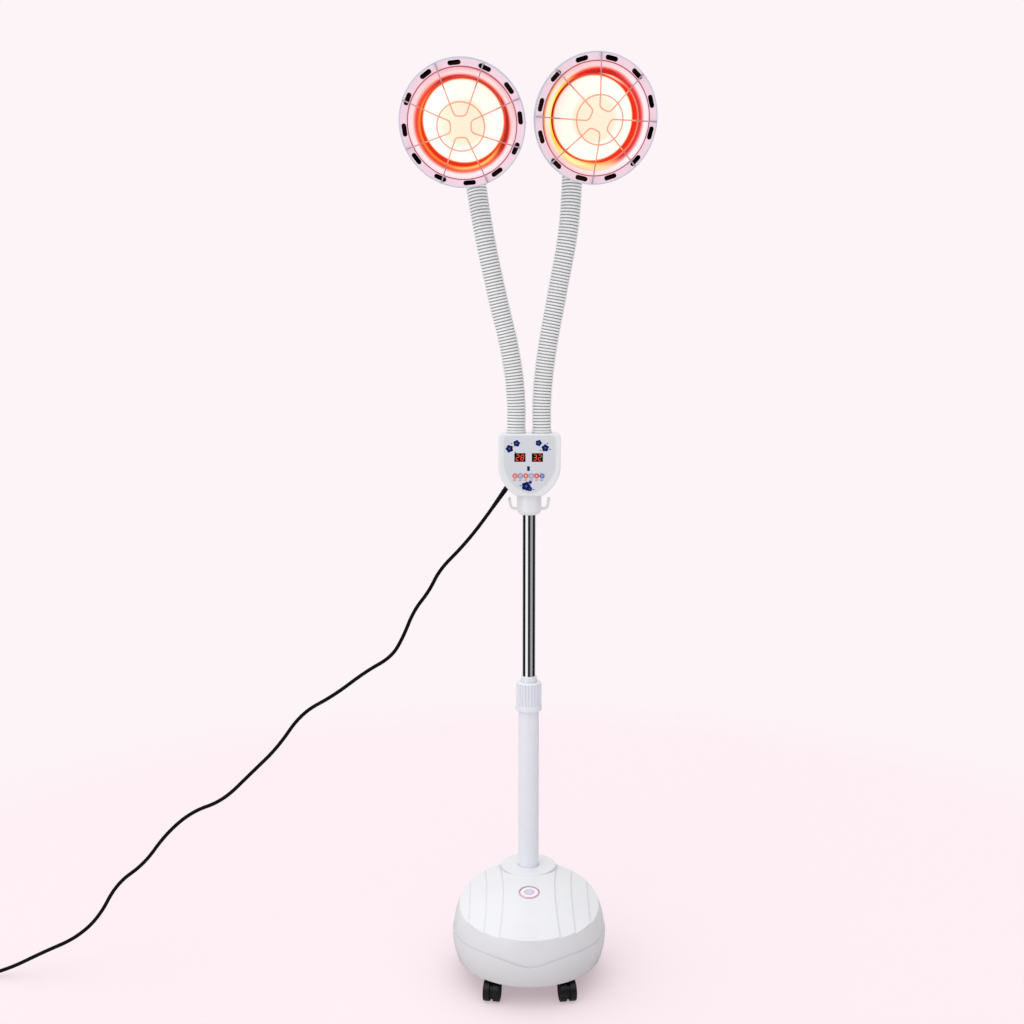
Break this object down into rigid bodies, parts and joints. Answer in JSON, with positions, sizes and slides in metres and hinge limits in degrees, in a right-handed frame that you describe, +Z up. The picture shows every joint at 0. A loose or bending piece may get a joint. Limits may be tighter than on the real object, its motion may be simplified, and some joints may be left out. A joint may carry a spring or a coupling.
{
  "type": "infrared heat therapy lamp",
  "caption": "Floor-standing infrared heat lamp: caster base, sliding mast, control box with keys, two gooseneck heads with guarded reflector bulbs.",
  "frame": {"origin": "on the floor under the centre of the round base", "axes": "+Z up, -Y to the front, where the panel and the bulbs face, +X to the right as seen from the front"},
  "size_m": [1.1994, 0.289, 1.4382],
  "materials": {
    "white_abs": "glossy white moulded plastic",
    "badge_plastic": "glossy pale disc",
    "dark_steel": "zinc plated steel plate",
    "iron": "rough casting",
    "nylon": "black nylon",
    "wheel": "black polyurethane tread",
    "outer_paint": "white powder coat",
    "chrome": "polished chrome plate",
    "steel": "zinc plated steel",
    "overlay": "silver grey printed film",
    "display": "dark red window",
    "ir_filter": "dark blue filter",
    "board": "green laminate",
    "key_red": "red key cap",
    "key_grey": "purple grey key cap",
    "key_lilac": "lilac key cap",
    "key_blue": "blue key cap",
    "neck_skin": "white corrugated plastic sleeve",
    "shade_paint": "pinkish white enamel",
    "bulb_glass": "reflector bulb, silvered inside",
    "ceramic": "white glazed porcelain lamp holder",
    "wire": "bright wire",
    "cord_pvc": "black cord sheath"
  },
  "bodies": {
    "root": {"base_cover": "white_abs", "badge": "badge_plastic", "base_plate": "dark_steel", "base_weight": "iron", "caster_sockets": "nylon", "mast_flange": "dark_steel", "base_fasteners": "steel", "outer_tube": "outer_paint"},
    "caster_1": {"caster_fork_1": "nylon"},
    "wheels_1": {"caster_wheels_1": "wheel"},
    "caster_2": {"caster_fork_2": "nylon"},
    "wheels_2": {"caster_wheels_2": "wheel"},
    "caster_3": {"caster_fork_3": "nylon"},
    "wheels_3": {"caster_wheels_3": "wheel"},
    "caster_4": {"caster_fork_4": "nylon"},
    "wheels_4": {"caster_wheels_4": "wheel"},
    "caster_5": {"caster_fork_5": "nylon"},
    "wheels_5": {"caster_wheels_5": "wheel"},
    "clamp_nut": {"clamp_nut": "white_abs"},
    "swivel": {"collet": "nylon", "cord_coil": "cord_pvc", "plug": "cord_pvc"},
    "upper": {"inner_tube": "chrome", "guide_bush": "nylon", "hook_collar": "white_abs", "cord_hooks": "white_abs", "box_front": "white_abs", "box_rear": "white_abs", "box_screws": "steel", "panel_overlay": "overlay", "displays": "display", "ir_window": "ir_filter", "circuit_board": "board", "neck_roots": "neck_skin", "cord_tube": "cord_pvc", "cord_gland": "cord_pvc"},
    "key_1": {"key_1": "key_red"},
    "key_2": {"key_2": "key_grey"},
    "key_3": {"key_3": "key_red"},
    "key_4": {"key_4": "key_lilac"},
    "key_5": {"key_5": "key_red"},
    "key_6": {"key_6": "key_blue"},
    "left_1": {"neck_left_1": "neck_skin"},
    "left_2": {"neck_left_2": "neck_skin"},
    "left_3": {"neck_left_3": "neck_skin"},
    "left_4": {"neck_left_4": "neck_skin", "shade_left": "shade_paint", "rear_housing_left": "shade_paint", "bulb_left": "bulb_glass", "lamp_socket_left": "ceramic", "guard_left": "wire"},
    "right_1": {"neck_right_1": "neck_skin"},
    "right_2": {"neck_right_2": "neck_skin"},
    "right_3": {"neck_right_3": "neck_skin"},
    "right_4": {"neck_right_4": "neck_skin", "shade_right": "shade_paint", "rear_housing_right": "shade_paint", "bulb_right": "bulb_glass", "lamp_socket_right": "ceramic", "guard_right": "wire"}
  },
  "joints": [
    {"name": "caster_swivel_1", "type": "hinge", "parent": "root", "child": "caster_1", "pos_m": [0.05702, -0.07848, 0.04], "axis": [0, 0, 1], "continuous": true},
    {"name": "wheel_spin_1", "type": "hinge", "parent": "caster_1", "child": "wheels_1", "pos_m": [0.05889, -0.09033, 0.016], "axis": [0.9877, 0.1564, 0], "continuous": true},
    {"name": "caster_swivel_2", "type": "hinge", "parent": "root", "child": "caster_2", "pos_m": [0.09225, 0.02998, 0.04], "axis": [0, 0, 1], "continuous": true},
    {"name": "wheel_spin_2", "type": "hinge", "parent": "caster_2", "child": "wheels_2", "pos_m": [0.09825, 0.04037, 0.016], "axis": [-0.866, 0.5, 0], "continuous": true},
    {"name": "caster_swivel_3", "type": "hinge", "parent": "root", "child": "caster_3", "pos_m": [0, 0.097, 0.04], "axis": [0, 0, 1], "continuous": true},
    {"name": "wheel_spin_3", "type": "hinge", "parent": "caster_3", "child": "wheels_3", "pos_m": [0, 0.109, 0.016], "axis": [-1, 0, 0], "continuous": true},
    {"name": "caster_swivel_4", "type": "hinge", "parent": "root", "child": "caster_4", "pos_m": [-0.09225, 0.02998, 0.04], "axis": [0, 0, 1], "continuous": true},
    {"name": "wheel_spin_4", "type": "hinge", "parent": "caster_4", "child": "wheels_4", "pos_m": [-0.09825, 0.04037, 0.016], "axis": [-0.866, -0.5, 0], "continuous": true},
    {"name": "caster_swivel_5", "type": "hinge", "parent": "root", "child": "caster_5", "pos_m": [-0.05702, -0.07848, 0.04], "axis": [0, 0, 1], "continuous": true},
    {"name": "wheel_spin_5", "type": "hinge", "parent": "caster_5", "child": "wheels_5", "pos_m": [-0.05889, -0.09033, 0.016], "axis": [0.9877, -0.1564, 0], "continuous": true},
    {"name": "clamp_turn", "type": "hinge", "parent": "root", "child": "clamp_nut", "pos_m": [0, 0.069, 0.446], "axis": [0, 0, 1], "range_deg": [0, 90]},
    {"name": "mast_turn", "type": "hinge", "parent": "root", "child": "swivel", "pos_m": [0, 0.069, 0.446], "axis": [0, 0, 1], "range_deg": [-90, 90]},
    {"name": "mast_height", "type": "slide", "parent": "swivel", "child": "upper", "axis": [0, 0, 1], "range_m": [-0.18, 0.1]},
    {"name": "key_press_1", "type": "slide", "parent": "upper", "child": "key_1", "axis": [0, 1, 0], "range_m": [0, 0.0008], "stiffness_N_per_m": 900, "springref_m": -0.0006},
    {"name": "key_press_2", "type": "slide", "parent": "upper", "child": "key_2", "axis": [0, 1, 0], "range_m": [0, 0.0008], "stiffness_N_per_m": 900, "springref_m": -0.0006},
    {"name": "key_press_3", "type": "slide", "parent": "upper", "child": "key_3", "axis": [0, 1, 0], "range_m": [0, 0.0008], "stiffness_N_per_m": 900, "springref_m": -0.0006},
    {"name": "key_press_4", "type": "slide", "parent": "upper", "child": "key_4", "axis": [0, 1, 0], "range_m": [0, 0.0008], "stiffness_N_per_m": 900, "springref_m": -0.0006},
    {"name": "key_press_5", "type": "slide", "parent": "upper", "child": "key_5", "axis": [0, 1, 0], "range_m": [0, 0.0008], "stiffness_N_per_m": 900, "springref_m": -0.0006},
    {"name": "key_press_6", "type": "slide", "parent": "upper", "child": "key_6", "axis": [0, 1, 0], "range_m": [0, 0.0008], "stiffness_N_per_m": 900, "springref_m": -0.0006},
    {"name": "left_tilt_1", "type": "hinge", "parent": "upper", "child": "left_1", "pos_m": [-0.0214, 0.069, 0.932], "axis": [1, 0, 0], "range_deg": [-20, 40]},
    {"name": "left_spread_1", "type": "hinge", "parent": "left_1", "child": "left_2", "pos_m": [-0.0295, 0.068, 1.003], "axis": [0, -1, 0], "range_deg": [0, 20]},
    {"name": "left_tilt_2", "type": "hinge", "parent": "left_2", "child": "left_3", "pos_m": [-0.052, 0.066, 1.102], "axis": [1, 0, 0], "range_deg": [-20, 40]},
    {"name": "left_spread_2", "type": "hinge", "parent": "left_3", "child": "left_4", "pos_m": [-0.0735, 0.063, 1.205], "axis": [0, -1, 0], "range_deg": [0, 20]},
    {"name": "right_tilt_1", "type": "hinge", "parent": "upper", "child": "right_1", "pos_m": [0.0202, 0.069, 0.932], "axis": [1, 0, 0], "range_deg": [-20, 40]},
    {"name": "right_spread_1", "type": "hinge", "parent": "right_1", "child": "right_2", "pos_m": [0.0265, 0.068, 1.003], "axis": [0, 1, 0], "range_deg": [0, 20]},
    {"name": "right_tilt_2", "type": "hinge", "parent": "right_2", "child": "right_3", "pos_m": [0.0435, 0.066, 1.102], "axis": [1, 0, 0], "range_deg": [-20, 40]},
    {"name": "right_spread_2", "type": "hinge", "parent": "right_3", "child": "right_4", "pos_m": [0.061, 0.063, 1.205], "axis": [0, 1, 0], "range_deg": [0, 20]}
  ],
  "couplings": [
    {"joint": "left_tilt_2", "follows": "left_tilt_1", "ratio": 1},
    {"joint": "left_spread_2", "follows": "left_spread_1", "ratio": 1},
    {"joint": "right_tilt_2", "follows": "right_tilt_1", "ratio": 1},
    {"joint": "right_spread_2", "follows": "right_spread_1", "ratio": 1}
  ]
}
